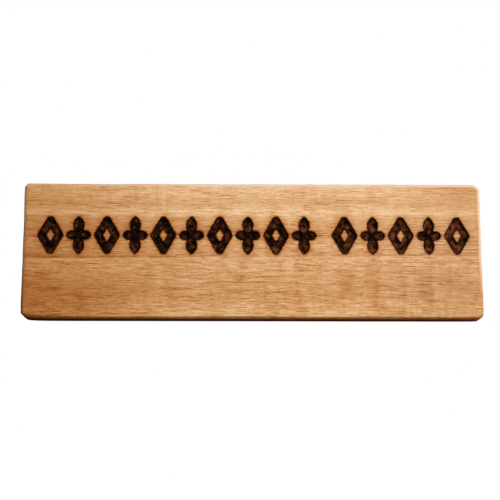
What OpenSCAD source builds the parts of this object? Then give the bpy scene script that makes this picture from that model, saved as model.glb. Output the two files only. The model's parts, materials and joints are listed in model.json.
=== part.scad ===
// Carved wooden wall plaque with two swinging D-ring hangers and four rubber wall bumpers.
// X runs along the plaque, Z is up and the wall is on the +Y side, so the carved face looks along -Y.
// The origin is the middle of the flat strip on the board's bottom edge.

/* [Board] */
// Length of the board, along the grain
board_length = 300; // [280:1:400]
// Height of the board
board_height = 89.5; // [76:0.5:160]
// Thickness of the board
board_thickness = 16; // [14:0.5:30]
// Radius of the board's four corners, seen from the front
corner_radius = 4; // [3:0.5:12]
// Radius of the sanded edges, front and back
edge_radius = 2; // [0.5:0.25:2.5]

/* [Carving] */
// Depth of the burnt carving
carving_depth = 1.8; // [0.5:0.1:2.5]
// Width of a carved groove
groove_width = 4.3; // [3:0.1:5]
// Height of one motif
motif_height = 24; // [20:0.5:30]
// Width of a lozenge, over its groove
lozenge_width = 15.6; // [13:0.1:16]
// Width of a flower, over its side petals
flower_width = 15.2; // [11:0.1:16]
// Width of an upright petal
tall_petal_width = 6.2; // [3:0.1:6.5]
// Width of a side petal
side_petal_width = 5.2; // [3:0.1:5.5]
// Uncarved wood from the middle of a flower to each petal
flower_heart = 1.2; // [0.5:0.1:2]
// Step from one motif to the next
motif_step = 18.4; // [17:0.1:18.6]
// Extra step between the long row and the short row
row_gap = 8; // [4:0.5:12]
// Number of motifs in the long row
long_row = 10; // [4:1:10]
// Number of motifs in the short row
short_row = 5; // [2:1:5]
// Height of the carving's middle line above the bottom edge
carving_z = 54.5; // [40:0.5:60]
// Shift of the whole carving to the right
carving_shift = 1; // [-2:0.5:2]

/* [Hangers] */
// Distance from the plaque's middle to each hanger
hanger_x = 100; // [60:1:120]
// Height of the D-rings' pivot above the bottom edge
pivot_z = 66; // [50:1:70]
// Width of the folded hanger strap
strap_width = 10; // [8:0.5:14]
// Thickness of the strap's sheet steel
strap_thickness = 0.8; // [0.6:0.1:1.2]
// Gap left between the strap's two layers
fold_gap = 0.1; // [0.05:0.05:0.2]
// Angle at which the strap's outer layer slopes down from the fold
fold_angle = 35; // [32:1:60]
// Strap beyond the screw's centre
strap_tail = 6; // [5:0.5:9]
// Diameter of the D-ring's wire
wire_diameter = 2; // [1.6:0.1:2.6]
// Centreline radius of the D-ring's two bends
ring_bend_radius = 2.2; // [1.8:0.1:3]
// Length of the D-ring's straight sides
ring_side_length = 2; // [1:0.5:6]
// Angle at which the D-ring hangs away from the board
ring_rest_angle = 7; // [6:0.5:12]

/* [Screws] */
// Outside diameter of the screw's thread
thread_diameter = 3.5; // [3:0.1:4]
// Diameter of the screw's core
core_diameter = 2.5; // [2:0.1:2.8]
// Length of the screw under its head
screw_length = 12.5; // [10:0.5:13]
// Pitch of the thread's ridges
thread_pitch = 1.4; // [1:0.1:2]
// Diameter of the screw's pan head
head_diameter = 6.4; // [5.5:0.1:7]
// Height of the pan head
head_height = 2; // [1.6:0.1:2.4]
// Height of the pan head's upright rim
head_rim = 0.9; // [0.5:0.1:1.2]
// Length of the cross recess, tip to tip
recess_length = 3.6; // [2.5:0.1:4]
// Width of the cross recess
recess_width = 0.9; // [0.6:0.1:1.2]
// Depth of the cross recess
recess_depth = 1.2; // [0.6:0.1:1.4]

/* [Bumpers] */
// Diameter of a bumper where it meets the board
bumper_base_diameter = 12.7; // [10:0.1:16]
// Diameter of a bumper near its top
bumper_top_diameter = 10.8; // [8:0.1:10.8]
// Height of the rubber
bumper_height = 4.8; // [4.5:0.1:6]
// Rounding of the bumper's top edge
bumper_fillet = 1.2; // [0.5:0.1:1.5]
// Height of the bumper's upright foot
bumper_foot = 0.8; // [0.4:0.1:1.2]
// Distance from the board's edges to each bumper's centre
bumper_inset = 12; // [10:0.5:20]
// Diameter of the adhesive pad
adhesive_diameter = 11.8; // [9:0.1:12]
// Thickness of the adhesive pad
adhesive_thickness = 0.3; // [0.1:0.05:0.5]

/* [Fits] */
// Radial clearance of the D-ring in the strap's loop
loop_clearance = 0.1; // [0.05:0.01:0.1]
// Clearance beside the strap, between the D-ring's bends
side_clearance = 0.3; // [0.2:0.1:1]
// Radial clearance of the screw in the strap's hole
hole_clearance = 0.15; // [0.1:0.05:0.4]
// Radial clearance between the thread's crests and the pilot hole
pilot_clearance = 0.03; // [0.02:0.01:0.1]
// Wood left free beyond the screw's tip
tip_clearance = 0.5; // [0.2:0.1:1]
// Gap between the hanging D-ring and the screw's head
head_clearance = 0.8; // [0.5:0.1:3]

/* [Hidden] */
$fn = 96;

left = -1;
right = 1;
front_y = -board_thickness / 2;
back_y = board_thickness / 2;
cut_over = 1;

// Hanger, measured from the board's back face (out) and from the pivot (down)
wire_radius = wire_diameter / 2;
loop_inner = wire_radius + loop_clearance;
loop_outer = loop_inner + strap_thickness;
outer_layer = strap_thickness + fold_gap;
strap_stack = outer_layer + strap_thickness;
ring_width = strap_width + 2 * side_clearance + 2 * ring_bend_radius;
ring_reach = ring_bend_radius + ring_side_length + ring_width / 2;
screw_drop = ring_reach + wire_radius + head_clearance + head_diameter / 2;
strap_end = screw_drop + strap_tail;

// Screw
thread_radius = thread_diameter / 2;
core_radius = core_diameter / 2;
screw_tip = 2.4;
shank_lead = 0.4;
smooth_shank = strap_stack + shank_lead;
ridges = floor((screw_length - screw_tip - smooth_shank) / thread_pitch);

// Colours
oak = [0.80, 0.58, 0.36];
zinc = [0.74, 0.75, 0.76];
steel = [0.62, 0.63, 0.65];
black_rubber = [0.07, 0.07, 0.07];
adhesive_white = [0.86, 0.85, 0.80];

// ---- Board ----

// Half of the board's edge section: x runs outwards from the plan corner's centre, y through the thickness.
module edge_section() {
    square([corner_radius - edge_radius, board_thickness]);
    translate([0, edge_radius])
        square([corner_radius, board_thickness - 2 * edge_radius]);
    for (y = [edge_radius, board_thickness - edge_radius])
        translate([corner_radius - edge_radius, y])
            circle(edge_radius);
}

// A straight run of the edge section, centred on the origin and facing +X.
module edge_run(run) {
    translate([0, run / 2, 0])
        rotate([90, 0, 0])
            linear_extrude(run)
                intersection() {
                    edge_section();
                    square([corner_radius, board_thickness]);
                }
}

// One corner of the edge, turned from +X round to +Y.
module edge_corner() {
    rotate_extrude(angle = 90)
        intersection() {
            edge_section();
            square([corner_radius, board_thickness]);
        }
}

// The blank lies on its back: x along the board, y up it and z through it, with its front on top.
module blank() {
    inner_x = board_length / 2 - corner_radius;
    inner_y = board_height / 2 - corner_radius;
    translate([0, board_height / 2, 0]) {
        translate([-inner_x, -inner_y, 0])
            cube([2 * inner_x, 2 * inner_y, board_thickness]);
        for (turn = [0, 180])
            rotate([0, 0, turn]) {
                translate([inner_x, 0, 0])
                    edge_run(2 * inner_y);
                translate([0, inner_y, 0])
                    rotate([0, 0, 90])
                        edge_run(2 * inner_x);
                translate([inner_x, inner_y, 0])
                    edge_corner();
                translate([-inner_x, inner_y, 0])
                    rotate([0, 0, 90])
                        edge_corner();
            }
    }
}

// ---- Carving ----

// A groove with round ends, from one point to another.
module groove(a, b) {
    run = norm(b - a);
    translate(a)
        rotate(atan2(b[1] - a[1], b[0] - a[0])) {
            translate([0, -groove_width / 2])
                square([run, groove_width]);
            circle(d = groove_width);
            translate([run, 0])
                circle(d = groove_width);
        }
}

// Four grooves that leave a lozenge of wood standing in the middle.
module lozenge() {
    reach_x = (lozenge_width - groove_width) / 2;
    reach_y = (motif_height - groove_width) / 2;
    tips = [[reach_x, 0], [0, reach_y], [-reach_x, 0], [0, -reach_y]];
    for (i = [0:3])
        groove(tips[i], tips[(i + 1) % 4]);
}

// A pointed petal along +X, the overlap of two discs, that starts at the flower's heart.
module petal(reach, width) {
    long = reach - flower_heart;
    disc = (long * long + width * width) / (4 * width);
    translate([flower_heart + long / 2, 0])
        intersection() {
            translate([0, disc - width / 2])
                circle(disc);
            translate([0, width / 2 - disc])
                circle(disc);
        }
}

module flower() {
    for (turn = [0, 180])
        rotate(turn) {
            petal(flower_width / 2, side_petal_width);
            rotate(90)
                petal(motif_height / 2, tall_petal_width);
        }
}

// A row of motifs that starts at x = 0, lozenges and flowers by turns.
module motif_row(count) {
    for (i = [0:count - 1])
        translate([i * motif_step, 0])
            if (i % 2 == 0)
                lozenge();
            else
                flower();
}

// Both rows, centred on the board's length.
module carving() {
    short_start = long_row * motif_step + row_gap;
    whole = short_start + (short_row - 1) * motif_step;
    translate([carving_shift - whole / 2, carving_z]) {
        motif_row(long_row);
        translate([short_start, 0])
            motif_row(short_row);
    }
}

module pilot_hole() {
    bore = thread_radius + pilot_clearance;
    depth = screw_length - strap_stack + tip_clearance;
    translate([0, 0, -depth])
        cylinder(h = depth + cut_over, r = bore);
}

module board() {
    color(oak)
        difference() {
            translate([0, back_y, 0])
                rotate([90, 0, 0])
                    blank();
            translate([0, front_y + carving_depth, 0])
                rotate([90, 0, 0])
                    linear_extrude(carving_depth + cut_over)
                        carving();
            for (side = [left, right])
                at_screw(side)
                    pilot_hole();
        }
}

// ---- Places on the back: local +Z points out of the board's back face ----

module on_back(x, z) {
    translate([x, back_y, z])
        rotate([-90, 0, 0])
            children();
}

module at_screw(side) {
    on_back(side * hanger_x, pivot_z - screw_drop)
        children();
}

module at_bumper(side, z) {
    on_back(side * (board_length / 2 - bumper_inset), z)
        children();
}

upper_z = board_height - bumper_inset;
lower_z = bumper_inset;

// ---- Hanger strap ----

// Section of the folded strip: x runs down from the pivot, y out from the board.
// The inner layer lies on the board, half a turn goes round the ring's bar, and the outer layer slopes down again.
module strap_section() {
    crest = 2 * loop_outer;
    lean = strap_thickness * tan(fold_angle / 2);
    crest_end = loop_inner + lean;
    slope_end = crest_end + (crest - strap_stack) / tan(fold_angle);
    difference() {
        translate([0, loop_outer])
            circle(loop_outer);
        translate([0, loop_outer])
            circle(loop_inner);
        translate([0, -cut_over])
            square([loop_outer + cut_over, crest + 2 * cut_over]);
    }
    square([strap_end, strap_thickness]);
    polygon([
        [0, crest - strap_thickness], [loop_inner, crest - strap_thickness],
        [slope_end - lean, outer_layer], [strap_end, outer_layer],
        [strap_end, strap_stack], [slope_end, strap_stack], [crest_end, crest], [0, crest]
    ]);
}

// Plan of the strap, with its rounded tail: x runs down from the pivot.
module strap_plan() {
    translate([-loop_outer - cut_over, -strap_width / 2])
        square([strap_end - strap_width / 2 + loop_outer + cut_over, strap_width]);
    translate([strap_end - strap_width / 2, 0])
        circle(d = strap_width);
}

module hanger_strap(side) {
    color(zinc)
        on_back(side * hanger_x, pivot_z)
            rotate([0, 0, 90])
                difference() {
                    intersection() {
                        translate([0, strap_width / 2, 0])
                            rotate([90, 0, 0])
                                linear_extrude(strap_width)
                                    strap_section();
                        translate([0, 0, -cut_over])
                            linear_extrude(2 * loop_outer + 2 * cut_over)
                                strap_plan();
                    }
                    translate([screw_drop, 0, -cut_over])
                        cylinder(h = strap_stack + 2 * cut_over, r = thread_radius + hole_clearance);
                }
}

// ---- D-ring ----

// The ring lies in the XY plane with its bar on the X axis and its bow towards +Y.
module d_ring() {
    half = ring_width / 2;
    bend_x = half - ring_bend_radius;
    side_end = ring_bend_radius + ring_side_length;
    translate([-bend_x, 0, 0])
        rotate([0, 90, 0])
            cylinder(h = 2 * bend_x, r = wire_radius);
    translate([bend_x, ring_bend_radius, 0])
        rotate([0, 0, -90])
            wire_bend(ring_bend_radius, 90);
    translate([-bend_x, ring_bend_radius, 0])
        rotate([0, 0, 180])
            wire_bend(ring_bend_radius, 90);
    for (x = [-half, half])
        translate([x, side_end, 0])
            rotate([90, 0, 0])
                cylinder(h = ring_side_length, r = wire_radius);
    translate([0, side_end, 0])
        wire_bend(half, 180);
}

// Wire bent about the origin, from +X round by an angle.
module wire_bend(radius, angle) {
    rotate_extrude(angle = angle)
        translate([radius, 0])
            circle(wire_radius);
}

module hanger_ring(side) {
    color(steel)
        translate([side * hanger_x, back_y + loop_outer, pivot_z])
            rotate([ring_rest_angle - 90, 0, 0])
                d_ring();
}

// ---- Screw ----

// Half of the screw's section: x is the radius, y points out of the board with the head's seat at y = 0.
module head_section() {
    dome = (pow(head_diameter / 2, 2) + pow(head_height - head_rim, 2)) / (2 * (head_height - head_rim));
    intersection() {
        square([head_diameter / 2, head_height]);
        translate([0, head_height - dome])
            circle(dome);
    }
}

module shank_section() {
    start = -smooth_shank;
    crests = [
        for (i = [ridges - 1:-1:0])
            for (p = [[core_radius, 0.75], [thread_radius, 0.5], [core_radius, 0.25]])
                [p[0], start - (i + p[1]) * thread_pitch]
    ];
    polygon(concat(
        [[0, -screw_length], [core_radius, screw_tip - screw_length]],
        crests,
        [[core_radius, start], [core_radius, cut_over / 2], [0, cut_over / 2]]
    ));
}

module hanger_screw(side) {
    color(zinc)
        at_screw(side)
            translate([0, 0, strap_stack])
                difference() {
                    rotate_extrude() {
                        head_section();
                        shank_section();
                    }
                    for (turn = [0, 90])
                        rotate([0, 0, turn])
                            translate([-recess_length / 2, -recess_width / 2, head_height - recess_depth])
                                cube([recess_length, recess_width, recess_depth + cut_over]);
                }
}

// ---- Bumpers ----

module bumper_section() {
    top = bumper_top_diameter / 2;
    shoulder = bumper_height - bumper_fillet;
    polygon([
        [0, 0], [bumper_base_diameter / 2, 0], [bumper_base_diameter / 2, bumper_foot],
        [top, shoulder], [top - bumper_fillet, bumper_height], [0, bumper_height]
    ]);
    translate([top - bumper_fillet, shoulder])
        circle(bumper_fillet);
}

module bumper(side, z) {
    color(black_rubber)
        at_bumper(side, z)
            translate([0, 0, adhesive_thickness])
                rotate_extrude()
                    bumper_section();
}

module adhesive(side, z) {
    color(adhesive_white)
        at_bumper(side, z)
            cylinder(h = adhesive_thickness, d = adhesive_diameter);
}

board();
hanger_strap(left);  // left_hanger_strap
hanger_strap(right);  // right_hanger_strap
hanger_ring(left);  // left_hanger_ring
hanger_ring(right);  // right_hanger_ring
hanger_screw(left);  // left_hanger_screw
hanger_screw(right);  // right_hanger_screw
bumper(left, upper_z);  // upper_left_bumper
bumper(right, upper_z);  // upper_right_bumper
bumper(left, lower_z);  // lower_left_bumper
bumper(right, lower_z);  // lower_right_bumper
adhesive(left, upper_z);  // upper_left_adhesive
adhesive(right, upper_z);  // upper_right_adhesive
adhesive(left, lower_z);  // lower_left_adhesive
adhesive(right, lower_z);  // lower_right_adhesive
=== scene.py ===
"""A carved wooden wall plaque: its board, folded strap hangers, D-rings, screws and rubber bumpers.

Lengths are in millimetres until a mesh or the camera is placed; finishes and lamps are in metres.
X runs along the board, Z is up and the carved face looks along -Y.
"""

import json

import bmesh
import bpy
import numpy as np
from mathutils import Matrix, Vector
from mathutils.geometry import delaunay_2d_cdt


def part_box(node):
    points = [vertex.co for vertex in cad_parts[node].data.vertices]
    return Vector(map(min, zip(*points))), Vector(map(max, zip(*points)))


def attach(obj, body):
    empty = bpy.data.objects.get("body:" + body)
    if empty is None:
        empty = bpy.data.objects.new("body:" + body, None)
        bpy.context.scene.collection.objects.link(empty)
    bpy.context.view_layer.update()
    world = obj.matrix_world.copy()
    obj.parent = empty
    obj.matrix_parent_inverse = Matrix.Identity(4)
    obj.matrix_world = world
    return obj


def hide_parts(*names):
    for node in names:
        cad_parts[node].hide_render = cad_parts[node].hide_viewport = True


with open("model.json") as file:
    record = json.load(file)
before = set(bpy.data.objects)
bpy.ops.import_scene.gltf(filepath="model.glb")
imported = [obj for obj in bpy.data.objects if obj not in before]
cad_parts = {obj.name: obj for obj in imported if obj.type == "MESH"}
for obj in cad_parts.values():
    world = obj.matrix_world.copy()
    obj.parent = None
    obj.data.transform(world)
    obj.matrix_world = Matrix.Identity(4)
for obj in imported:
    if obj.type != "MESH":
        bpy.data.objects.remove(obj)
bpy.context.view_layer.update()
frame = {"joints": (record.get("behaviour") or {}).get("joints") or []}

MM = 0.001


def box_mm(node):
    """A node's lowest and highest corners in millimetres."""
    low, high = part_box(node)
    return np.array(low) / MM, np.array(high) / MM


BOARD_LOW, BOARD_HIGH = box_mm("board")
LENGTH = BOARD_HIGH[0] - BOARD_LOW[0]
HEIGHT = BOARD_HIGH[2] - BOARD_LOW[2]
FRONT = BOARD_LOW[1]
BACK = BOARD_HIGH[1]
EDGE = 2.0

# Radii of the corners as sanded by hand: lower right, upper right, upper left and lower left. Each is
# larger than the rim is wide at that corner, so that the rim doesn't fold over itself.
CORNERS = (3.1, 4.8, 3.4, 3.8)

# The carving, as on the CAD board
DEPTH = 1.8
GROOVE = 4.3
MOTIF_HEIGHT = 24.0
LOZENGE_WIDTH = 15.6
FLOWER_WIDTH = 15.2
TALL_PETAL = 6.2
SIDE_PETAL = 5.2
HEART = 1.2
STEP = 18.4
ROW_GAP = 8.0
LONG_ROW = 10
SHORT_ROW = 5
BAND_Z = 54.5
SHIFT = 1.0

# The screws
HEAD_RADIUS = 3.2
HEAD_HEIGHT = 2.0
HEAD_RIM = 0.9
CROSS_ARM = 1.8
CROSS_HALF = 0.45
CROSS_DEPTH = 1.15
THREAD_RADIUS = 1.75
CORE_RADIUS = 1.25
SCREW_LENGTH = 12.5
SCREW_TIP = 2.4
THREAD_PITCH = 1.4
PILOT_RADIUS = 1.78
HOLE_RADIUS = 1.9

# The hangers, as on the CAD ones: s runs down from the D-ring's pivot and n out from the board
SHEET = 0.8
WIRE = 1.0
LOOP_IN = 1.1
LOOP_OUT = LOOP_IN + SHEET
STACK = 1.7
FOLD_ANGLE = np.radians(35)
STRAP_HALF = 5.0
BEND = 2.2
RING_SIDE = 2.0
RING_HALF = 7.5
REST_ANGLE = np.radians(7)
RING_TO_HEAD = 0.8
HOLE_TO_END = 6.0
SCREW_DROP = BEND + RING_SIDE + RING_HALF + WIRE + RING_TO_HEAD + HEAD_RADIUS
STRAP_END = SCREW_DROP + HOLE_TO_END
PILOT_DEPTH = SCREW_LENGTH - STACK + 0.5

# The bumpers
BASE_RADIUS = 6.35
TOP_RADIUS = 5.4
FOOT = 0.8
TOP_FILLET = 1.2

# The distance kept where there is no groove near enough to scorch the wood
FAR = 30.0


# ---- Meshes ----

def smooth(low, high, x):
    """0 below low, 1 above high, and 3t^2 - 2t^3 between them."""
    t = np.clip((x - low) / (high - low), 0, 1)
    return t * t * (3 - 2 * t)


def ripple(seed, waves, longest, shortest):
    """A smooth random function of position, about -1 to 1.

    It is a sum of sine waves whose lengths and directions are drawn from the seed.
    """
    draw = np.random.default_rng(seed)
    lengths = np.exp(draw.uniform(np.log(shortest), np.log(longest), waves))
    directions = draw.normal(size=(waves, 3))
    directions /= np.linalg.norm(directions, axis=1)[:, None]
    phases = draw.uniform(0, 2 * np.pi, waves)

    def value(points):
        turns = points @ (directions * (2 * np.pi / lengths)[:, None]).T + phases
        return np.sin(turns).sum(axis=-1) / np.sqrt(waves)

    return value


def lattice(rows, columns):
    """The faces of a grid of points whose columns close into a ring."""
    across = np.arange(columns)
    down = np.arange(rows - 1)[:, None] * columns
    after = (across + 1) % columns
    corners = [down + across, down + after, down + columns + after, down + columns + across]
    return np.stack(corners, -1).reshape(-1, 4)


class Shell:
    """A mesh gathered from surfaces that share their edge points, with numbers kept at each point."""

    def __init__(self, *marks):
        self.points = []
        self.faces = []
        self.marks = {mark: [] for mark in marks}
        self.count = 0

    def add(self, points, faces, **marks):
        """Adds points in millimetres and their faces; a mark is one number, or one for each point."""
        points = np.asarray(points, float).reshape(-1, 3)
        self.points.append(points)
        self.faces += [[i + self.count for i in face] for face in np.asarray(faces).tolist()]
        for mark, values in self.marks.items():
            values.append(np.broadcast_to(np.asarray(marks.get(mark, 0.0), float).ravel(), len(points)))
        self.count += len(points)

    def grid(self, points, **marks):
        """Adds a grid of points with shape (rows, columns, 3)."""
        self.add(points, lattice(points.shape[0], points.shape[1]), **marks)

    def build(self, name, body, node, material, sharp=30):
        """Welds the surfaces, turns the faces outwards and puts the piece on its body."""
        mesh = bpy.data.meshes.new(name)
        points, first, place = np.unique(
            np.round(np.vstack(self.points), 4), axis=0, return_index=True, return_inverse=True
        )
        place = place.ravel().tolist()
        faces = [list(dict.fromkeys(place[i] for i in face)) for face in self.faces]
        mesh.from_pydata(points * MM, [], [face for face in faces if len(face) > 2])
        for mark, values in self.marks.items():
            layer = mesh.attributes.new(mark, "FLOAT", "POINT")
            layer.data.foreach_set("value", np.concatenate(values)[first].astype(np.float32))
        piece = bpy.data.objects.new(name, mesh)
        bpy.context.scene.collection.objects.link(piece)
        outwards(mesh)
        mesh.polygons.foreach_set("use_smooth", np.ones(len(mesh.polygons), bool))
        mesh.set_sharp_from_angle(angle=np.radians(sharp))
        mesh.materials.append(material)
        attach(piece, body)
        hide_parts(node)
        return piece


def outwards(mesh):
    """Turns the faces of a closed mesh outwards."""
    work = bmesh.new()
    work.from_mesh(mesh)
    bmesh.ops.recalc_face_normals(work, faces=work.faces)
    work.to_mesh(mesh)
    work.free()
    mesh.update()


def fill(rings, inner):
    """Points and triangles between closed plane rings, with more points inside.

    A triangle stays where an odd number of rings lie around it, so a ring in a ring is a hole.
    """
    counts = [len(ring) for ring in rings]
    starts = np.cumsum([0] + counts[:-1])
    loops = [list(range(start, start + count)) for start, count in zip(starts, counts)]
    points = np.vstack(rings + [inner])
    flat = [Vector(point) for point in points]
    _, _, triangles, sources, _, holders = delaunay_2d_cdt(flat, [], loops, 1, 1e-6)
    kept = [triangle for triangle, held in zip(triangles, holders) if len(held) % 2]
    return points[[source[0] for source in sources]], kept


def turn(radius, angles, centre=(0.0, 0.0)):
    """Points of a circle's arc at the given angles."""
    return np.stack([centre[0] + radius * np.cos(angles), centre[1] + radius * np.sin(angles)], -1)


# ---- Board outline ----

SIDE_POINTS = (96, 220)
CORNER_POINTS = 14

# The rim: points across each of its turns and along its flat, how near to an end or an edge that side's
# own wear begins, and how quickly the wear fades away from a lower corner
TURN_POINTS = 9
FLAT_POINTS = 7
NEAR = 4.0
FADE = 5.0


def board_outline():
    """The board's outline seen from the front, with its outward directions.

    A quarter turn at each corner, about a centre its radius in from both edges, joined by straight runs.
    """
    arcs, aways = [], []
    for quarter, (sx, sy, radius) in enumerate(zip((1, 1, -1, -1), (-1, 1, 1, -1), CORNERS)):
        angles = np.linspace(quarter - 1, quarter, CORNER_POINTS) * np.pi / 2
        centre = np.array([sx * (LENGTH / 2 - radius), sy * (HEIGHT / 2 - radius)])
        arcs.append(turn(radius, angles, centre))
        aways.append(turn(1.0, angles))
    points, normals = [], []
    for quarter, (arc, away) in enumerate(zip(arcs, aways)):
        run = np.linspace(0, 1, SIDE_POINTS[quarter % 2], endpoint=False)[1:, None]
        following = arcs[(quarter + 1) % 4][0]
        points += [arc, arc[-1] + (following - arc[-1]) * run]
        normals += [away, np.repeat(away[-1:], len(run), axis=0)]
    middle = [(BOARD_LOW[0] + BOARD_HIGH[0]) / 2, HEIGHT / 2]
    return np.vstack(points) + middle, np.vstack(normals)


def board_edge(shell):
    """The sanded rim, as a profile carried round the outline; its first and last rings are returned.

    The profile turns from the front face to the side, runs flat and turns to the back face. The front turn
    grows and shrinks a little along the way, as hand sanding leaves it. It is widest along the top, and
    along the bottom it is part chamfer. At the lower corners, mostly the left one, the whole profile is
    lifted inwards.
    """
    outline, normals = board_outline()
    flat = np.column_stack([outline[:, 0], np.zeros(len(outline)), outline[:, 1]])
    along = ripple(11, 14, 120, 22)(flat)
    short = ripple(12, 18, 18, 5)(flat)
    from_left = outline[:, 0] - BOARD_LOW[0]
    from_right = BOARD_HIGH[0] - outline[:, 0]
    left = smooth(NEAR, 0, from_left)
    right = smooth(NEAR, 0, from_right)
    upper = smooth(HEIGHT - NEAR, HEIGHT, outline[:, 1])
    lower = smooth(NEAR, 0, outline[:, 1])
    low_left = lower * np.exp(-from_left / FADE)
    low_right = lower * np.exp(-from_right / FADE)

    # The front turn's width over the face, then the flat's wear at its front, and the lift at the corners
    size = EDGE * (1.05 + 0.25 * upper - 0.40 * lower + 0.12 * right)
    reach = (size + EDGE * (0.13 * along + 0.05 * short + 0.15 * low_left))[:, None]
    worn = (0.08 + 0.06 * along + 0.04 * short + 0.2 * left - 0.05 * lower).clip(0.01)[:, None]
    lift = (1.2 * low_left + 0.25 * low_right)[:, None]

    # The front turn's depth over the side, its share of chamfer, and the back turn's size
    slope = np.minimum(reach * (0.9 + 0.7 * lower[:, None]), 1.75 * EDGE)
    straight = 0.55 * lower[:, None]
    behind = EDGE * (1 - 0.60 * lower)[:, None]

    evenly = np.linspace(0, 1, TURN_POINTS)
    angles = evenly * np.pi / 2
    side = np.linspace(FRONT + 1.9 * EDGE, BACK - EDGE, FLAT_POINTS)[1:-1]
    rear = np.linspace(np.pi / 2, 0, TURN_POINTS)
    inset = np.hstack([
        worn + (reach - worn) * (1 - np.sin(angles) * (1 - straight) - evenly * straight),
        worn * smooth(BACK, FRONT, side),
        behind * (1 - np.sin(rear)),
    ])
    depth = np.hstack([
        FRONT + slope * ((1 - np.cos(angles)) * (1 - straight) + evenly * straight),
        np.broadcast_to(side, (len(outline), len(side))),
        BACK - behind * (1 - np.cos(rear)),
    ])
    place = outline[:, None, :] - normals[:, None, :] * (inset + lift)[:, :, None]
    rings = np.stack([place[..., 0], depth, place[..., 1]], -1).transpose(1, 0, 2)
    rounded = np.broadcast_to(1 - smooth(0, reach, inset), inset.shape).T
    shell.grid(rings, worn=rounded, reach=FAR)
    return rings[0], rings[-1]


# ---- Carving ----

# Each step across a groove's wall: distance out from the drawn outline, and depth below the face
WALL = np.array([
    (0.30, 0.0), (0.16, 0.05), (0.06, 0.17), (0.0, 0.36), (-0.03, 0.8), (-0.06, 1.25),
    (-0.12, 1.52), (-0.28, 1.70), (-0.55, 1.78),
])
rag = ripple(21, 60, 3.0, 0.5)
scoop = ripple(22, 50, 9.0, 1.2)
UNEVENNESS = 0.10

# Points along a rhombus's side, round its corner and along a petal's side
RHOMBUS_SIDE = 24
RHOMBUS_CORNER = 8
PETAL_SIDE = 24


def rounded_rhombus(out, radius):
    """A rhombus moved outwards by a distance, with its corners rounded.

    The lozenge's grooves run along a rhombus. Each corner of a scaled copy is turned about by radius,
    from one side's direction to the next, and straight runs join the turns.
    """
    a = (LOZENGE_WIDTH - GROOVE) / 2
    b = (MOTIF_HEIGHT - GROOVE) / 2
    facing = np.arctan2(a, b)
    scale = 1 + (out - radius) / (a * b / np.hypot(a, b))
    corners = scale * np.array([(a, 0), (0, b), (-a, 0), (0, -b)])
    half = [facing, np.pi / 2 - facing]
    ring = []
    for k, centre in enumerate(corners):
        sweep = k * np.pi / 2 + np.linspace(-half[k % 2], half[k % 2], RHOMBUS_CORNER)
        arc = turn(radius, sweep, centre)
        start = turn(radius, (k + 1) * np.pi / 2 - half[(k + 1) % 2], corners[(k + 1) % 4])
        run = np.linspace(0, 1, RHOMBUS_SIDE + 1)[1:-1, None]
        ring += [arc, arc[-1] + (start - arc[-1]) * run]
    return np.vstack(ring)


def lozenge_rings():
    """The rings of a lozenge groove from its outer rim, down, across its floor and up to its inner rim."""
    half = GROOVE / 2
    inner_corner = 0.35
    outer = [rounded_rhombus(half + out, half + out) for out, _ in WALL]
    inner = [rounded_rhombus(-half - out, inner_corner) for out, _ in WALL]
    across = np.linspace(0, 1, 8)[1:-1]
    floor = [outer[-1] * (1 - u) + inner[-1] * u for u in across]
    deep = [DEPTH] * len(across)
    return np.array(outer + floor + inner[::-1]), np.concatenate([WALL[:, 1], deep, WALL[::-1, 1]])


# How far a flower's petals reach and how wide they are: those along X, then those along Z
PETALS = ((FLOWER_WIDTH / 2, SIDE_PETAL), (MOTIF_HEIGHT / 2, TALL_PETAL))


def petal_rings(reach, width, around):
    """The rings of a petal pocket, from its rim down to one point in the middle of its floor.

    Each ring is the overlap of two discs whose radius shrinks with the distance in from the rim.
    """
    half_length = (reach - HEART) / 2
    half_width = width / 2
    disc = (half_length**2 + half_width**2) / width
    drop = disc - half_width
    inward = np.concatenate([-WALL[:, 0], np.linspace(-WALL[-1, 0], half_width, 7)[1:-1]])
    rings = []
    for step in inward:
        sweep = np.arccos(drop / (disc - step))
        angles = np.pi / 2 + np.linspace(-sweep, sweep, PETAL_SIDE, endpoint=False)
        upper = turn(disc - step, angles, (0, -drop))
        both = np.vstack([upper, -upper])
        rings.append(both)
    rings.append(np.zeros_like(both))
    deep = np.concatenate([WALL[:, 1], np.full(6, DEPTH)])
    c, s = np.cos(around), np.sin(around)
    moved = np.array(rings) + [HEART + half_length, 0]
    return moved @ np.array([(c, s), (-s, c)]), deep


def motif_centres():
    """The middle of each lozenge and each flower, which take turns along the two rows."""
    short_start = LONG_ROW * STEP + ROW_GAP
    whole = short_start + (SHORT_ROW - 1) * STEP
    rows = [(0.0, LONG_ROW), (short_start, SHORT_ROW)]
    lozenges, flowers = [], []
    for start, count in rows:
        for i in range(count):
            kind = lozenges if i % 2 == 0 else flowers
            kind.append(np.array([SHIFT - whole / 2 + start + i * STEP, BAND_Z]))
    return lozenges, flowers


LOZENGES, FLOWERS = motif_centres()


def carve(shell, rings, deep, centre):
    """Adds one pocket to the board and returns its rings.

    A ragged burnt edge moves each point a little outwards from its neighbours, and the cutter leaves a
    slightly wavy floor.
    """
    flat = rings + centre
    points = np.stack([flat[..., 0], np.zeros(flat.shape[:2]), flat[..., 1]], -1)
    edge = np.exp(-deep / 0.5)[:, None]
    sideways = np.stack([rag(points), 0 * points[..., 0], rag(points[..., ::-1])], -1)
    points = points + UNEVENNESS * edge[..., None] * sideways
    floor = smooth(DEPTH / 2, DEPTH, deep)[:, None]
    points[..., 1] = FRONT + deep[:, None] + UNEVENNESS * floor * scoop(points)
    shell.grid(points, depth=np.broadcast_to(deep[:, None], flat.shape[:2]), worn=0.0, reach=0.0)
    return points


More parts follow.
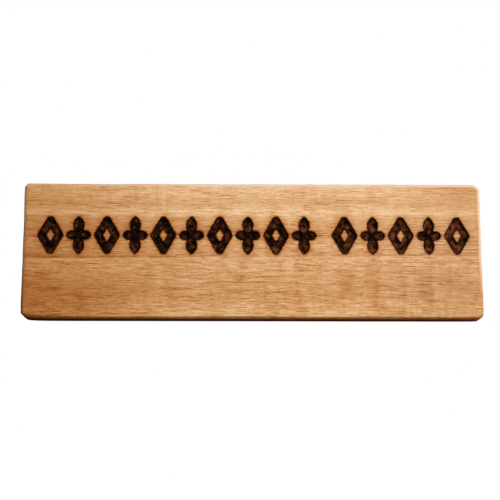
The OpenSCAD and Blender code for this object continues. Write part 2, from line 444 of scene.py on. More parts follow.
def groove_distance(points):
    """How far each plane point is outside the nearest groove; the lozenges' islands count as outside.

    A lozenge's distance is that to its rhombus less half a groove. A petal's is the larger of the
    distances to its two discs. The uncut heart of a flower is scorched too, so it counts as a disc.
    """
    nearest = np.full(len(points), FAR)
    a = (LOZENGE_WIDTH - GROOVE) / 2
    b = (MOTIF_HEIGHT - GROOVE) / 2
    side = np.array([-a, b])
    for centre in LOZENGES:
        local = np.abs(points - centre)
        t = ((local - [a, 0]) @ side / (side @ side)).clip(0, 1)
        away = np.linalg.norm(local - [a, 0] - t[:, None] * side, axis=1) - GROOVE / 2
        nearest = np.minimum(nearest, away)
    for centre in FLOWERS:
        local = np.abs(points - centre)
        nearest = np.minimum(nearest, np.linalg.norm(local, axis=1) - HEART)
        for k, (reach, width) in enumerate(PETALS):
            along, across = local[:, k], local[:, 1 - k]
            half_length = (reach - HEART) / 2
            disc = (half_length**2 + width**2 / 4) / width
            beside = np.hypot(along - HEART - half_length, across + disc - width / 2) - disc
            nearest = np.minimum(nearest, beside)
    return nearest


def build_board(material):
    """The board: its rim, the front face round the pockets, the pockets, and the back with two pilot holes.

    The faces have points inside them too, close together near the carving and far apart elsewhere.
    """
    shell = Shell("depth", "reach", "worn")
    front_ring, back_ring = board_edge(shell)
    loops = [front_ring[:, [0, 2]]]
    for centre in LOZENGES:
        points = carve(shell, *lozenge_rings(), centre)
        loops += [points[0][:, [0, 2]], points[-1][:, [0, 2]]]
    for centre in FLOWERS:
        for quarter in range(4):
            petal = petal_rings(*PETALS[quarter % 2], quarter * np.pi / 2)
            points = carve(shell, *petal, centre)
            loops.append(points[0][:, [0, 2]])
    half_band = MOTIF_HEIGHT / 2 + 5
    band = grid_points(4, BAND_Z - half_band, BAND_Z + half_band, 1.0)
    band = band[groove_distance(band) > 0.75]
    rest = grid_points(6, 6, HEIGHT - 6, 5.0)
    rest = rest[np.abs(rest[:, 1] - BAND_Z) > half_band + 1]
    plane, triangles = fill(loops, np.vstack([band, rest]))
    near = groove_distance(plane).clip(0)
    shell.add(np.insert(plane, 1, FRONT, axis=1), triangles, reach=near)
    holes = []
    for side in ("left", "right"):
        centre = screw_centre(side)
        ring = turn(PILOT_RADIUS, np.linspace(0, 2 * np.pi, 48, endpoint=False), centre)
        holes.append(ring)
        pilot_hole(shell, ring, centre)
    plane, triangles = fill([back_ring[:, [0, 2]]] + holes, rest)
    shell.add(np.insert(plane, 1, BACK, axis=1), triangles, reach=FAR)
    return shell.build("plaque_board", "plaque", "board", material, sharp=38)


def grid_points(margin, bottom, top_row, step):
    """A grid of plane points that stays a margin from the board's ends; alternate rows are offset."""
    rows = np.arange(bottom, top_row, step)
    columns = np.arange(BOARD_LOW[0] + margin, BOARD_HIGH[0] - margin - step / 2, step)
    x = columns[None, :] + (np.arange(len(rows)) % 2)[:, None] * step / 2
    return np.column_stack([x.ravel(), np.repeat(rows, len(columns))])


def pilot_hole(shell, ring, centre):
    """A drilled hole: the ring carried into the wood, then drawn in to the drill's point."""
    steps = [(1.0, 0.0), (1.0, 2.0), (1.0, 6.0), (1.0, PILOT_DEPTH - 0.8), (0.0, PILOT_DEPTH)]
    rows = [np.insert(centre + (ring - centre) * size, 1, BACK - deep, axis=1) for size, deep in steps]
    shell.grid(np.array(rows), reach=FAR)


# ---- Hangers ----

def pivot(side):
    """A hanger's pivot in millimetres."""
    joint = next(j for j in frame["joints"] if j["name"] == side + "_ring_swing")
    return np.array(joint["pos_m"]) / MM


def screw_centre(side):
    """A screw's centre on the board's back, as x and z."""
    x, _, z = pivot(side)
    return np.array([x, z - SCREW_DROP])


def strap_line():
    """The folded sheet's middle line, as (s, n) points: up the board, round the bar and down again."""
    half = SHEET / 2
    crest = 2 * LOOP_OUT
    lean = SHEET * np.tan(FOLD_ANGLE / 2)
    slope_end = LOOP_IN + lean + (crest - STACK) / np.tan(FOLD_ANGLE)
    round_bar = turn(LOOP_IN + half, np.radians(np.linspace(270, 90, 25)), (0.0, LOOP_OUT))
    straight = [(STRAP_END, half), (12.0, half), (4.0, half)]
    down = bent([
        (0.0, crest - half), (LOOP_IN + lean / 2, crest - half),
        (slope_end - lean / 2, STACK - half), (STRAP_END, STACK - half),
    ], 1.0)
    return np.vstack([straight, round_bar, down[1:]])


def bent(corners, radius):
    """A path through corners, each rounded by a quadratic curve that starts a radius away from it."""
    corners = np.array(corners, float)
    path = [corners[:1]]
    t = np.linspace(0, 1, 7)[:, None]
    for before, corner, after in zip(corners, corners[1:], corners[2:]):
        a = corner + radius * (before - corner) / np.linalg.norm(before - corner)
        b = corner + radius * (after - corner) / np.linalg.norm(after - corner)
        path.append(a * (1 - t) ** 2 + 2 * corner * t * (1 - t) + b * t * t)
    return np.vstack(path + [corners[-1:]])


def build_strap(side, material):
    """A punched blank, bent along strap_line.

    The blank is a strip with round ends and two holes. Each of its points, at u along it, v across it and
    w from its middle surface, goes to the line's point at u, moved by v across and w along the normal.
    """
    line = strap_line()
    far = np.concatenate([[0], np.cumsum(np.linalg.norm(np.diff(line, axis=0), axis=1))])
    slant = np.unwrap(np.arctan2(*np.gradient(line, far, axis=0).T[::-1]))
    centre = pivot(side)

    def bend(uv, w):
        u = uv[:, 0].clip(0, far[-1])
        s = np.interp(u, far, line[:, 0])
        n = np.interp(u, far, line[:, 1])
        angle = np.interp(u, far, slant)
        s = s - w * np.sin(angle)
        n = n + w * np.cos(angle)
        return np.column_stack([centre[0] + uv[:, 1], BACK + n, centre[2] - s])

    start = turn(STRAP_HALF, np.radians(np.linspace(90, 270, 25)), (STRAP_HALF, 0.0))
    end = [far[-1], 0] - start
    stations = np.linspace(STRAP_HALF, far[-1] - STRAP_HALF, 90)[1:-1]
    edge = np.full(len(stations), STRAP_HALF)
    outline = np.vstack([
        start, np.column_stack([stations, -edge]), end, np.column_stack([stations[::-1], edge]),
    ])

    # The tips lie on the middle line exactly, so that the sheet's two faces meet its edge at one point
    outline[:, 1] = np.where(np.abs(outline[:, 1]) < 1e-9, 0, outline[:, 1])
    circle = np.linspace(0, 2 * np.pi, 40, endpoint=False)
    holes = [turn(HOLE_RADIUS, circle, (u, 0.0)) for u in (HOLE_TO_END, far[-1] - HOLE_TO_END)]
    shell = Shell()
    round_edge = [
        (-1, 0.10), (-0.93, 0.04), (-0.75, 0.0), (0.0, 0.0), (0.75, 0.0), (0.93, 0.04), (1, 0.10),
    ]
    middle = np.column_stack([outline[:, 0].clip(STRAP_HALF, far[-1] - STRAP_HALF), 0 * outline[:, 1]])
    rims = {-1: [], 1: []}
    for loop, heart, sign in [(outline, middle, 1)] + [(hole, hole.mean(axis=0), -1) for hole in holes]:
        away = loop - heart
        away = away / np.linalg.norm(away, axis=1)[:, None]
        rows = [(loop - sign * away * inset, w * SHEET / 2) for w, inset in round_edge]
        shell.grid(np.array([bend(uv, w) for uv, w in rows]))
        for face in (-1, 1):
            rims[face].append(rows[0 if face < 0 else -1][0])
    across = np.linspace(-0.8, 0.8, 6) * STRAP_HALF
    inner = np.column_stack([np.tile(stations, len(across)), np.repeat(across, len(stations))])
    clear = [
        np.hypot(inner[:, 0] - hole[:, 0].mean(), inner[:, 1]) > HOLE_RADIUS + 0.4 for hole in holes
    ]
    for face in (-1, 1):
        plane, triangles = fill(rims[face], inner[clear[0] & clear[1]])
        shell.add(bend(plane, face * SHEET / 2), triangles)
    node = f"{side}_hanger_strap"
    return shell.build(f"{side}_strap", "plaque", node, material, sharp=50)


def ring_line():
    """The D-ring's middle line in its own plane: a bar along x, a turn down at each end and a bow."""
    side_end = BEND + RING_SIDE
    bar = np.linspace(-1, 1, 12)[1:-1, None] * [RING_HALF - BEND, 0]
    right = turn(BEND, np.radians(np.linspace(-90, 0, 9)), (RING_HALF - BEND, BEND))
    bow = turn(RING_HALF, np.radians(np.linspace(0, 180, 49)), (0.0, side_end))
    left = turn(BEND, np.radians(np.linspace(180, 270, 9)), (BEND - RING_HALF, BEND))
    return np.vstack([bar, right, bow, left])


def build_ring(side, material):
    """A tube of wire carried round ring_line, which is closed, and tilted out to its resting angle."""
    line = ring_line()
    ahead = np.roll(line, -1, axis=0) - np.roll(line, 1, axis=0)
    ahead = ahead / np.linalg.norm(ahead, axis=1)[:, None]
    outward = np.column_stack([ahead[:, 1], -ahead[:, 0]])
    angles = np.linspace(0, 2 * np.pi, 28, endpoint=False)
    x = line[:, None, 0] + WIRE * np.cos(angles) * outward[:, None, 0]
    s = line[:, None, 1] + WIRE * np.cos(angles) * outward[:, None, 1]
    n = np.broadcast_to(WIRE * np.sin(angles), x.shape)
    tilted_s = s * np.cos(REST_ANGLE) - n * np.sin(REST_ANGLE)
    tilted_n = s * np.sin(REST_ANGLE) + n * np.cos(REST_ANGLE)
    points = pivot(side) + np.stack([x, tilted_n, -tilted_s], -1)
    points = np.concatenate([points, points[:1]])
    shell = Shell()
    shell.grid(points)
    return shell.build(f"{side}_d_ring", f"{side}_ring", f"{side}_hanger_ring", material)


def build_screw(side, material):
    """A pan-head wood screw, as rings about its axis, of radius r and y above the head's seat.

    The head's top is a sphere cap from which a cross is pressed, and the shank's radius rises to a crest
    once in each pitch, later as the ring goes round, so that the crest is a helix.
    """
    angles = np.linspace(0, 2 * np.pi, 64, endpoint=False)
    x, z = screw_centre(side)

    def ring(r, y):
        r, y = np.broadcast_arrays(r, y, angles)[:2]
        return np.stack([x + r * np.cos(angles), BACK + STACK + y, z + r * np.sin(angles)], -1)

    cap = HEAD_HEIGHT - HEAD_RIM
    dome = (HEAD_RADIUS**2 + cap**2) / (2 * cap)
    rows = [ring(0.0, top(0.0, 0.0, dome))]
    for r in np.linspace(0.12, HEAD_RADIUS - 0.12, 26):
        rows.append(ring(r, top(r * np.cos(angles), r * np.sin(angles), dome)))
    rows += [ring(HEAD_RADIUS - 0.03, HEAD_RIM - 0.02), ring(HEAD_RADIUS, HEAD_RIM - 0.15)]
    rows += [ring(HEAD_RADIUS, 0.12), ring(HEAD_RADIUS - 0.1, 0.0), ring(HOLE_RADIUS, 0.0)]
    rows += [ring(CORE_RADIUS + 0.1, 0.0), ring(CORE_RADIUS, -0.2)]
    start = STACK + 0.4
    ring_step = 0.13
    half_crest = 0.24
    for y in np.arange(start, SCREW_LENGTH - 0.15, ring_step):
        phase = (y / THREAD_PITCH - angles / (2 * np.pi)) % 1
        crest = (1 - np.abs(phase - 0.5) / half_crest).clip(0) * smooth(start, start + 0.8, y)
        taper = 1 - smooth(0, 1, (y - SCREW_LENGTH + SCREW_TIP) / SCREW_TIP) * 0.93
        rows.append(ring((CORE_RADIUS + (THREAD_RADIUS - CORE_RADIUS) * crest) * taper, -y))
    rows.append(ring(0.0, -SCREW_LENGTH))
    shell = Shell()
    shell.grid(np.array(rows))
    node = f"{side}_hanger_screw"
    return shell.build(f"{side}_screw", "plaque", node, material, sharp=40)


def top(u, v, dome):
    """The head's height at (u, v): a sphere cap less a cross whose arms slope in to a flat bottom."""
    height = HEAD_HEIGHT - dome + np.sqrt(dome**2 - u * u - v * v)
    long_u = (CROSS_ARM - np.abs(u)).clip(None, (CROSS_HALF - np.abs(v)) * 1.5)
    long_v = (CROSS_ARM - np.abs(v)).clip(None, (CROSS_HALF - np.abs(u)) * 1.5)
    inside = np.maximum(long_u, long_v)
    return height - CROSS_DEPTH * smooth(-0.06, 0.42, inside)


# ---- Bumpers ----

def revolve(shell, profile, centre):
    """Turns (radius, height above the board) points about an axis out of the board's back."""
    angles = np.linspace(0, 2 * np.pi, 72, endpoint=False)
    r, y = np.asarray(profile, float).T[:, :, None]
    rows = np.stack(np.broadcast_arrays(
        centre[0] + r * np.cos(angles), BACK + y, centre[1] + r * np.sin(angles)
    ), -1)
    shell.grid(rows)


def pad_centre(place):
    """A pad's centre on the board's back, as x and z."""
    low, high = box_mm(f"{place}_adhesive")
    return (low + high)[[0, 2]] / 2


def build_bumper(place, material):
    """A moulded bumper: a foot, a tapered side, a round shoulder and a top that dips in the middle."""
    low, high = box_mm(f"{place}_bumper")
    start, height = low[1] - BACK, high[1] - low[1]
    shoulder_centre = (TOP_RADIUS - TOP_FILLET, height - TOP_FILLET)
    shoulder = turn(TOP_FILLET, np.radians(np.linspace(8, 90, 12)), shoulder_centre)
    profile = np.vstack([
        (0, 0), (3.0, 0), (BASE_RADIUS - 0.15, 0), (BASE_RADIUS, 0.15), (BASE_RADIUS, FOOT - 0.1),
        (BASE_RADIUS - 0.12, FOOT), shoulder, (3.4, height), (3.0, height - 0.04), (1.5, height - 0.22),
        (0.75, height - 0.27), (0.6, height - 0.42), (0, height - 0.42),
    ]) + [0, start]
    shell = Shell()
    revolve(shell, profile, pad_centre(place))
    return shell.build(f"{place}_rubber", "plaque", f"{place}_bumper", material, sharp=40)


def build_adhesive(place, material):
    """A thin disc of adhesive with a slightly bulging edge."""
    low, high = box_mm(f"{place}_adhesive")
    radius, thick = (high[0] - low[0]) / 2, high[1] - low[1]
    edge = turn(thick / 2, np.radians(np.linspace(-90, 90, 7)), (radius - thick / 2, thick / 2))
    shell = Shell()
    revolve(shell, np.vstack([(0, 0), edge, (0, thick)]), pad_centre(place))
    return shell.build(f"{place}_glue", "plaque", f"{place}_adhesive", material, sharp=60)


# ---- Shader maths ----

class Number:
    """A number socket; arithmetic on it adds Math nodes."""

    def __init__(self, paint, socket):
        self.paint = paint
        self.socket = socket

    def __add__(self, other):
        return self.paint.math("ADD", self, other)

    def __sub__(self, other):
        return self.paint.math("SUBTRACT", self, other)

    def __mul__(self, other):
        return self.paint.math("MULTIPLY", self, other)

    def __truediv__(self, other):
        return self.paint.math("DIVIDE", self, other)

    def __pow__(self, other):
        return self.paint.math("POWER", self, other)

    def __rsub__(self, other):
        return self.paint.math("SUBTRACT", other, self)

    __radd__ = __add__

    def floor(self):
        return self.paint.math("FLOOR", self, 0.0)

    def band(self, low, high, out_low=0.0, out_high=1.0):
        """out_low below low, out_high above high, and a smooth step between them."""
        values = {"Value": self, "From Min": low, "From Max": high}
        values |= {"To Min": out_low, "To Max": out_high}
        return self.paint.node("ShaderNodeMapRange", {"interpolation_type": "SMOOTHSTEP"}, values)


class Paint:
    """One material, its node tree and its Principled shader."""

    def __init__(self, name, **constants):
        self.material = bpy.data.materials.new(name)
        self.material.use_nodes = True
        self.tree = self.material.node_tree
        self.shader = next(n for n in self.tree.nodes if n.type == "BSDF_PRINCIPLED")
        for socket, value in constants.items():
            self.shader.inputs[socket.replace("_", " ")].default_value = value

    def node(self, kind, settings, inputs, output=0):
        """Adds a node: its settings first, then a value or a link for each of its sockets."""
        node = self.tree.nodes.new(kind)
        for name, value in settings.items():
            if name == "stops":
                ramp_stops(node.color_ramp, value)
            else:
                setattr(node, name, value)
        for name, value in inputs.items():
            self.plug(node.inputs[name], value)
        return Number(self, node.outputs[output])

    def plug(self, socket, value):
        if isinstance(value, Number):
            self.tree.links.new(value.socket, socket)
        else:
            socket.default_value = value

    def math(self, operation, a, b):
        return self.node("ShaderNodeMath", {"operation": operation}, {0: a, 1: b})

    def mark(self, name):
        """A number kept at the mesh's points."""
        return self.node("ShaderNodeAttribute", {"attribute_name": name}, {}, "Fac")

    def place(self):
        """Where a point of the piece is, in metres."""
        return self.node("ShaderNodeTexCoord", {}, {}, "Object")

    def axes(self, vector):
        split = self.tree.nodes.new("ShaderNodeSeparateXYZ")
        self.plug(split.inputs[0], vector)
        return [Number(self, out) for out in split.outputs]

    def vector(self, x, y, z):
        return self.node("ShaderNodeCombineXYZ", {}, {"X": x, "Y": y, "Z": z})

    def stretch(self, vector, scale):
        return self.node("ShaderNodeVectorMath", {"operation": "MULTIPLY"}, {0: vector, 1: scale})

    def noise(self, vector, scale=1.0, detail=2.0, roughness=0.5):
        values = {"Vector": vector, "Scale": scale, "Detail": detail, "Roughness": roughness}
        return self.node("ShaderNodeTexNoise", {}, values)

    def ramp(self, fac, stops):
        """A colour from a number, by (place, colour) stops."""
        return self.node("ShaderNodeValToRGB", {"stops": stops}, {"Fac": fac})

    def mix(self, fac, a, b):
        node = self.node("ShaderNodeMix", {"data_type": "RGBA"}, {"Factor": fac}, 2)
        for socket, value in zip(node.socket.node.inputs[6:8], (a, b)):
            self.plug(socket, value)
        return node

    def bump(self, height, distance, strength=1.0, under=None):
        values = {"Height": height, "Distance": distance, "Strength": strength}
        if under is not None:
            values["Normal"] = under
        return self.node("ShaderNodeBump", {}, values)

    def finish(self, **links):
        for socket, value in links.items():
            self.plug(self.shader.inputs[socket.replace("_", " ")], value)
        return self.material


def ramp_stops(ramp, stops):
    """Sets a ramp's stops to (place, colour) pairs."""
    while len(ramp.elements) < len(stops):
        ramp.elements.new(0.5)
    for element, (where, colour) in zip(ramp.elements, stops):
        element.position = where
        element.color = colour


def rgb(red, green, blue):
    """A colour for a socket, from the 0 to 255 numbers of a screen colour."""
    screen = np.array([red, green, blue]) / 255
    linear = np.where(screen <= 0.04045, screen / 12.92, ((screen + 0.055) / 1.055) ** 2.4)
    return (*linear.tolist(), 1.0)


# ---- Finishes ----

# The middle of the tree that the board was sawn from, as y and z in metres
PITH = (0.075, -0.130)

# The lightest wood's colour, how quickly each channel fades as the tone rises, and the tones' range
WOOD_LIGHT = np.array([0.755, 0.468, 0.246])
WOOD_STAIN = np.array([1.0, 1.84, 3.10])
TONES = (-0.10, 1.70)
TONE_STOPS = 9

CHAR = (7, 3, 1)


def wood_tone(tone):
    """The wood's colour: light wood seen through an amber stain, so red fades slowest and blue fastest."""
    return (*(WOOD_LIGHT * np.exp(-tone * WOOD_STAIN)).clip(0, 0.92).tolist(), 1.0)


def tone_stops():
    """Evenly spaced ramp stops over the range TONES."""
    low, high = TONES
    places = np.linspace(0, 1, TONE_STOPS).tolist()
    return [(u, wood_tone(low + u * (high - low))) for u in places]


def grain_tone(paint, place, drift):
    """The grain's tone, and the fine fibres and dark dashes in it, which also give the wood its relief.

    The grain runs along X. Across it, it follows the growth rings: the level grows with the distance from
    the middle of the tree.
    """
    x, y, z = paint.axes(place)
    behind_pith, above_pith = y - PITH[0], z - PITH[1]
    ring = (behind_pith * behind_pith + above_pith * above_pith) ** 0.5
    level = ring * 1.1 + drift * 0.008 + x * 0.010
    wood = paint.vector(x, y, level)

    def grain(along, through, up):
        """Noise about 0 with this many waves a metre along the grain, through the board and up it."""
        return paint.noise(paint.stretch(wood, (along, through, up))) - 0.5

    def fibres(thickness, along, detail, roughness):
        """Straight fibres of a thickness in metres: each row of them has its own noise along X, about 0.

        The second result is 1 in the middle of a row and 0 where two rows meet.
        """
        row = level * (1 / thickness)
        whole = row.floor()
        off_middle = (row - whole) * 2.0 - 1.0
        where = paint.vector(x * along, whole * 5.31, y * 170.0)
        value = paint.noise(where, detail=detail, roughness=roughness) - 0.5
        return value, 1.0 - off_middle * off_middle

    fine, _ = fibres(0.00045, 84.0, 4.0, 0.85)
    fine = fine * (fine * 1.6 + 1.0)
    pores, pore_middle = fibres(0.00050, 66.0, 1.5, 0.65)
    crowded = grain(20.0, 90.0, 150.0).band(-0.12, 0.1, 0.45, 1.0)
    dashes = pores.band(0.08, 0.15) * pore_middle * crowded
    streaks = grain(10.0, 200.0, 430.0) * 0.12 + fine * 1.60 + dashes * 0.56

    # The streaks are calmer above the carving and a little stronger on the right
    strength = z.band(0.054, 0.072, 1.0, 0.74) * x.band(-0.02, 0.08, 1.0, 1.12)
    return grain(3.0, 60.0, 130.0) * 0.40 + streaks * strength, fine, dashes


def figure_and_painted_shade(paint, place, drift):
    """The slow changes of tone over the board, which wander with the drift, with painted shade toward its
    ends and at the lower left.
    """
    x, _, z = paint.axes(place)

    # Curl and mottle across the grain, in patches
    curl = paint.noise(paint.stretch(place, (230.0, 20.0, 36.0))) - 0.5
    curl_where = paint.noise(paint.stretch(place, (14.0, 8.0, 16.0)), detail=1.0).band(0.5, 0.72)
    mottle = paint.noise(paint.stretch(place, (105.0, 40.0, 50.0)), detail=2.5).band(0.42, 0.74)
    mottle_where = x.band(-0.07, 0.02, 0.4, 1.0) * z.band(0.036, 0.046, 1.0, 0.3)
    tone = curl * curl_where * 0.5 + mottle * 0.15 * mottle_where

    # A dark belt behind the carving, with a darker strip along its lower side on the left
    height = z + drift * 0.004
    low = height - x * 0.009
    belt = height.band(0.0665, 0.0695, 1.0, 0.0) * low.band(0.0398, 0.0408)
    strip = low.band(0.0405, 0.0450, 0.20, 0.0) * x.band(-0.12, 0.02, 1.0, 0.1)
    tone = tone + belt * (strip + 0.17)

    # Painted shade toward the left and right ends, where less light falls; darker toward the upper right and
    # the top
    right = x.band(0.08, 0.16)
    tone = tone + x.band(-0.165, -0.01, 0.28, 0.0) + right * 0.10
    tone = tone + right * z.band(0.068, 0.086, 0.0, 0.16) + z.band(0.066, 0.084, 0.0, 0.06)

    # Darker at the lower right; painted shade at the lower left; darker toward the bottom, but lighter just
    # above the rim
    tone = tone + x.band(0.0, 0.09, 0.0, 0.05) * z.band(0.035, 0.05, 1.0, 0.0)
    tone = tone + x.band(-0.15, -0.04, 0.16, 0.0) * z.band(0.02, 0.035, 1.0, 0.0)
    return tone + z.band(0.022, 0.050, 0.20, 0.0) - z.band(0.004, 0.016, 0.08, 0.0)


def rim_painted_shade(paint, place, worn):
    """Painted shade on the rim: under the board and darker toward its back, along the bottom, on the left
    end and at the lower left.
    """
    x, y, z = paint.axes(place)
    # Painted shade under the board, darker toward its back and weaker at the right end, and along the lower
    # rim
    under = z.band(0.0, 0.0008, 1.0, 0.0) * x.band(0.1410, 0.1490, 1.0, 0.15)
    tone = under * y.band(-0.0050, 0.0040, 0.0, 2.4) + z.band(0.0, 0.0016, 0.42, 0.0)
    # Painted shade on the left end
    tone = tone + x.band(-0.1505, -0.1465, 0.50, 0.0)
    # Painted shade on the rounded rim at the lower left
    return tone + worn * x.band(-0.1470, -0.1380, 0.7, 0.0) * z.band(0.004, 0.012, 1.0, 0.0)


def painted_shade_and_highlight(paint, place, base, worn, fine):
    """The wood's colour, with painted shade toward the right end and a pale rim, part worn bare and part
    painted highlight, strongest on the top and right; neither reaches along the bottom.
    """
    x, y, z = paint.axes(place)
    # Painted shade toward the right end: a dull tan mixed into the wood
    right_painted_shade = x.band(0.02, 0.17, 0.0, 0.22) * z.band(0.0, 0.0030)
    # A pale rim on the top and right: part worn bare wood, part painted highlight where the light falls
    rubbed_and_highlit = (worn + fine * 0.25).band(0.04, 0.38) * y.band(-0.0070, -0.0040, 1.0, 0.35)
    rubbed_and_highlit = rubbed_and_highlit * z.band(0.004, 0.05, 0.0, 0.85) * x.band(-0.12, -0.02, 0.4, 1.0)
    base = paint.mix(right_painted_shade, base, rgb(196, 160, 124))
    return paint.mix(rubbed_and_highlit, base, rgb(236, 204, 172))


def burnt_colour(paint, place, patch, depth):
    """A groove's colour: black walls, part char and part painted shade, and a patchy brown floor, which is
    warmer toward the right.
    """
    x, _, _ = paint.axes(place)
    floor = paint.ramp(
        patch + x.band(-0.12, 0.14, 0.0, 1.0) * 0.09,
        [(0.42, rgb(*CHAR)), (0.51, rgb(28, 12, 4)), (0.60, rgb(66, 32, 13)), (0.74, rgb(104, 58, 28))],
    )
    # Black on the walls and the floor's edge: char, and painted shade inside the groove
    wall = depth.band(0.0013, 0.0017, 1.0, 0.0)
    return paint.mix(wall * 0.9, floor, rgb(*CHAR))


def oiled_wood():
    """Honey-coloured wood with burnt grooves, as a solid that is the same on every face.

    One number, the tone, says how dark the wood is; the grain, the figure with painted shade toward the
    ends, painted shade on the rim and the scorch each add to it. The scorch follows the distance from a
    groove and the depth in it, kept at the mesh's points.
    """
    paint = Paint("oiled_wood", Specular_IOR_Level=0.04, Coat_Roughness=0.40)
    place = paint.place()
    worn = paint.mark("worn")
    reach = paint.mark("reach") * MM
    depth = paint.mark("depth") * MM
    drift = paint.noise(paint.stretch(place, (4.0, 10.0, 13.0)), detail=1.0) - 0.5
    smear = paint.noise(paint.stretch(place, (170.0, 600.0, 1100.0)), detail=3.0) - 0.5
    patch = paint.noise(paint.stretch(place, (300.0, 300.0, 300.0)), detail=4.0, roughness=0.60)

    grain, fine, dashes = grain_tone(paint, place, drift)
    halo = (reach - smear * 0.0030).band(0.0, 0.0022, 1.0, 0.0)
    haze = (reach - smear * 0.0060).band(0.0, 0.0060, 0.14, 0.0)
    # The figure and the rim add painted shade to the tone
    tone = grain + figure_and_painted_shade(paint, place, drift) + rim_painted_shade(paint, place, worn)
    tone = tone + halo * halo * 0.95 + haze
    base = paint.ramp((tone - TONES[0]) / (TONES[1] - TONES[0]), tone_stops())
    # Painted shade at the right end, and a pale rim that is part painted highlight
    base = painted_shade_and_highlight(paint, place, base, worn, fine)

    lip = (reach - (patch - 0.5) * 0.0009).band(0.00005, 0.00055, 1.0, 0.0)
    charred = depth.band(0.00002, 0.00012)
    base = paint.mix(lip, base, rgb(20, 8, 3))
    base = paint.mix(charred, base, burnt_colour(paint, place, patch, depth))

    bare = (1.0 - charred) * (1.0 - lip)
    rough = 0.90 - bare * 0.36 + fine * 0.2
    coat = bare * (worn * -0.17 + 0.2)
    normal = paint.bump(fine * -1.0 - dashes * 0.3, 0.00010, 0.25)
    normal = paint.bump(patch * charred, 0.0006, 0.8, normal)
    return paint.finish(Base_Color=base, Roughness=rough, Normal=normal, Coat_Weight=coat)


def zinc_plate(name, tint):
    """Bright zinc on steel: drawn lines along Z, cloudy crystals and a few darker rubs."""
    paint = Paint(name, Metallic=1.0)
    place = paint.place()
    lines = paint.noise(paint.stretch(place, (2600.0, 600.0, 90.0)), detail=3.0, roughness=0.6)
    cloud = paint.noise(paint.stretch(place, (260.0, 260.0, 260.0)), detail=4.0)
    shades = [(0.30, rgb(140, 143, 147)), (0.55, tint), (0.75, rgb(226, 228, 230))]
    base = paint.ramp(cloud * 0.6 + lines * 0.4, shades)
    rough = 0.24 + lines * 0.14 + cloud * 0.10
    return paint.finish(Base_Color=base, Roughness=rough, Normal=paint.bump(lines, 0.00002, 0.4))


def nickel_wire():
    """Polished nickel plate on wire, with faint marks from drawing and bending."""
    paint = Paint("nickel_wire", Metallic=1.0)
    place = paint.place()
    marks = paint.noise(place, 1500.0, detail=4.0, roughness=0.6)
    cloud = paint.noise(place, 300.0, detail=3.0)
    base = paint.ramp(cloud, [(0.35, rgb(176, 174, 168)), (0.65, rgb(214, 212, 206))])
    normal = paint.bump(marks, 0.00001, 0.4)
    return paint.finish(Base_Color=base, Roughness=0.12 + marks * 0.16, Normal=normal)


def black_rubber():
    """Matt moulded rubber with a fine grain and a little dust."""
    paint = Paint("black_rubber", Specular_IOR_Level=0.4)
    place = paint.place()
    grain = paint.noise(place, 4200.0, detail=3.0, roughness=0.6)
    dust = paint.noise(place, 420.0, detail=4.0).band(0.52, 0.74)
    base = paint.mix(dust * 0.35, rgb(26, 26, 27), rgb(74, 72, 69))
    normal = paint.bump(grain, 0.00005, 0.5)
    return paint.finish(Base_Color=base, Roughness=0.62 + grain * 0.2, Normal=normal)


def glue_film():
    """Pale acrylic adhesive, a little cloudy."""
    paint = Paint("glue_film", Specular_IOR_Level=0.5)
    cloud = paint.noise(paint.place(), 900.0, detail=3.0)
    base = paint.ramp(cloud, [(0.35, rgb(206, 200, 184)), (0.65, rgb(228, 224, 212))])
    return paint.finish(Base_Color=base, Roughness=0.35 + cloud * 0.2)


# ---- Stage ----

# The camera: its turn about Z, rise and roll in degrees, its distance from the point that it faces, and
# that point's shift from the middle of the board's front, along X and Z
CAMERA_ANGLES = (-0.755, -11.002, 0.005)
CAMERA_DISTANCE = 793.1
CAMERA_SHIFT = (-1.620, 0.075)
LENS = 87.585

# The point that every lamp faces and the floor's size and height, in metres, and how brightly it glows
LAMP_AIM = (0.0, 0.0, 0.045)
FLOOR_RADIUS = 1.4
FLOOR_Z = -0.30
FLOOR_GLOW = 0.955

WHITE = (1.0, 1.0, 1.0, 1.0)


def camera():
    """A long lens below the board and a little left of its middle, looking up at it."""
    turned, raised, rolled = np.radians(CAMERA_ANGLES)
    back = np.array([np.sin(turned) * np.cos(raised), -np.cos(turned) * np.cos(raised), np.sin(raised)])
    right = np.array([np.cos(turned), np.sin(turned), 0.0])
    up = np.cross(back, right)
    right, up = (
        np.cos(rolled) * right + np.sin(rolled) * up,
        -np.sin(rolled) * right + np.cos(rolled) * up,
    )
    aim = np.array([CAMERA_SHIFT[0], FRONT, HEIGHT / 2 + CAMERA_SHIFT[1]])
    view = bpy.data.cameras.new("camera")
    view.sensor_width = 36.0
    view.lens = LENS
    view.clip_start = 0.01
    eye = bpy.data.objects.new("camera", view)
    eye.matrix_world = Matrix.Translation((aim + back * CAMERA_DISTANCE) * MM) @ Matrix(
        np.column_stack([right, up, back]).tolist()
    ).to_4x4()
    bpy.context.scene.collection.objects.link(eye)
    bpy.context.scene.camera = eye


def lamp(name, place, size, power, colour=WHITE[:3]):
    """A square area light at a place in metres."""
    light = bpy.data.lights.new(name, "AREA")
    light.shape = "SQUARE"
    light.size = size
    light.energy = power
    light.color = colour
    body = bpy.data.objects.new(name, light)
    body.matrix_world = Matrix.Translation(place) @ (
        (Vector(LAMP_AIM) - Vector(place)).to_track_quat("-Z", "Y").to_matrix().to_4x4()
    )
    bpy.context.scene.collection.objects.link(body)


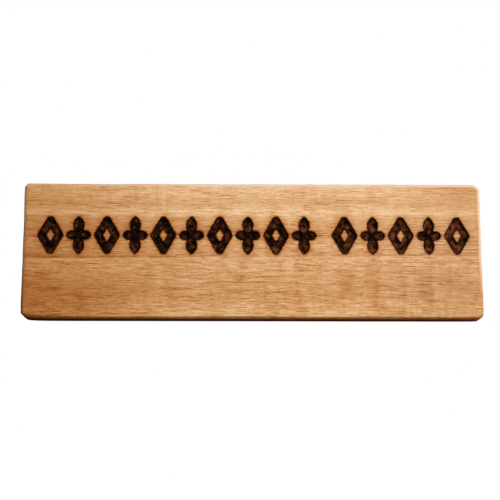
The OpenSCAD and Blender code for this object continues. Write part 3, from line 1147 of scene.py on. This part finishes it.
def studio():
    """A pale floor well below the plaque, a white surround and soft lights.

    The main lamp is high on the right, a larger one fills from below in front, and two light the back.
    """
    mesh = bpy.data.meshes.new("floor")
    rim = turn(FLOOR_RADIUS, np.linspace(0, 2 * np.pi, 96, endpoint=False))
    mesh.from_pydata(np.column_stack([rim, np.full(len(rim), FLOOR_Z)]), [], [list(range(len(rim)))])
    floor = bpy.data.objects.new("floor", mesh)
    bpy.context.scene.collection.objects.link(floor)
    pale = Paint("pale_floor", Roughness=1.0, Specular_IOR_Level=0.0, Emission_Strength=FLOOR_GLOW)
    mesh.materials.append(pale.finish(Base_Color=(0.02, 0.02, 0.02, 1.0), Emission_Color=WHITE))
    floor.visible_diffuse = False
    floor.visible_glossy = False
    floor.visible_shadow = False

    lamp("key", (0.75, -1.00, 0.95), 0.40, 18.0, (1.0, 0.985, 0.965))
    lamp("front_fill", (0.45, -1.48, -0.46), 1.0, 18.2)
    lamp("back_key", (-0.55, 0.8, 0.7), 0.5, 14.0)
    lamp("back_fill", (0.6, 0.9, 0.2), 0.6, 5.0)

    world = bpy.data.worlds.new("surround")
    bpy.context.scene.world = world
    world.use_nodes = True
    tree = world.node_tree
    seen = tree.nodes["Background"]
    seen.inputs["Color"].default_value = WHITE
    unseen = tree.nodes.new("ShaderNodeBackground")
    unseen.inputs["Color"].default_value = WHITE
    unseen.inputs["Strength"].default_value = 0.02
    rays = tree.nodes.new("ShaderNodeLightPath")
    both = tree.nodes.new("ShaderNodeMixShader")
    tree.links.new(rays.outputs["Is Camera Ray"], both.inputs[0])
    tree.links.new(unseen.outputs[0], both.inputs[1])
    tree.links.new(seen.outputs[0], both.inputs[2])
    tree.links.new(both.outputs[0], tree.nodes["World Output"].inputs["Surface"])
    bpy.context.scene.view_settings.view_transform = "Standard"


camera()
studio()
build_board(oiled_wood())
strap_finish = zinc_plate("zinc_strap", rgb(190, 193, 196))
screw_finish = zinc_plate("zinc_screw", rgb(200, 202, 204))
ring_finish = nickel_wire()
for side in ("left", "right"):
    build_strap(side, strap_finish)
    build_ring(side, ring_finish)
    build_screw(side, screw_finish)
rubber_finish = black_rubber()
glue_finish = glue_film()
for place in ("upper_left", "upper_right", "lower_left", "lower_right"):
    build_bumper(place, rubber_finish)
    build_adhesive(place, glue_finish)
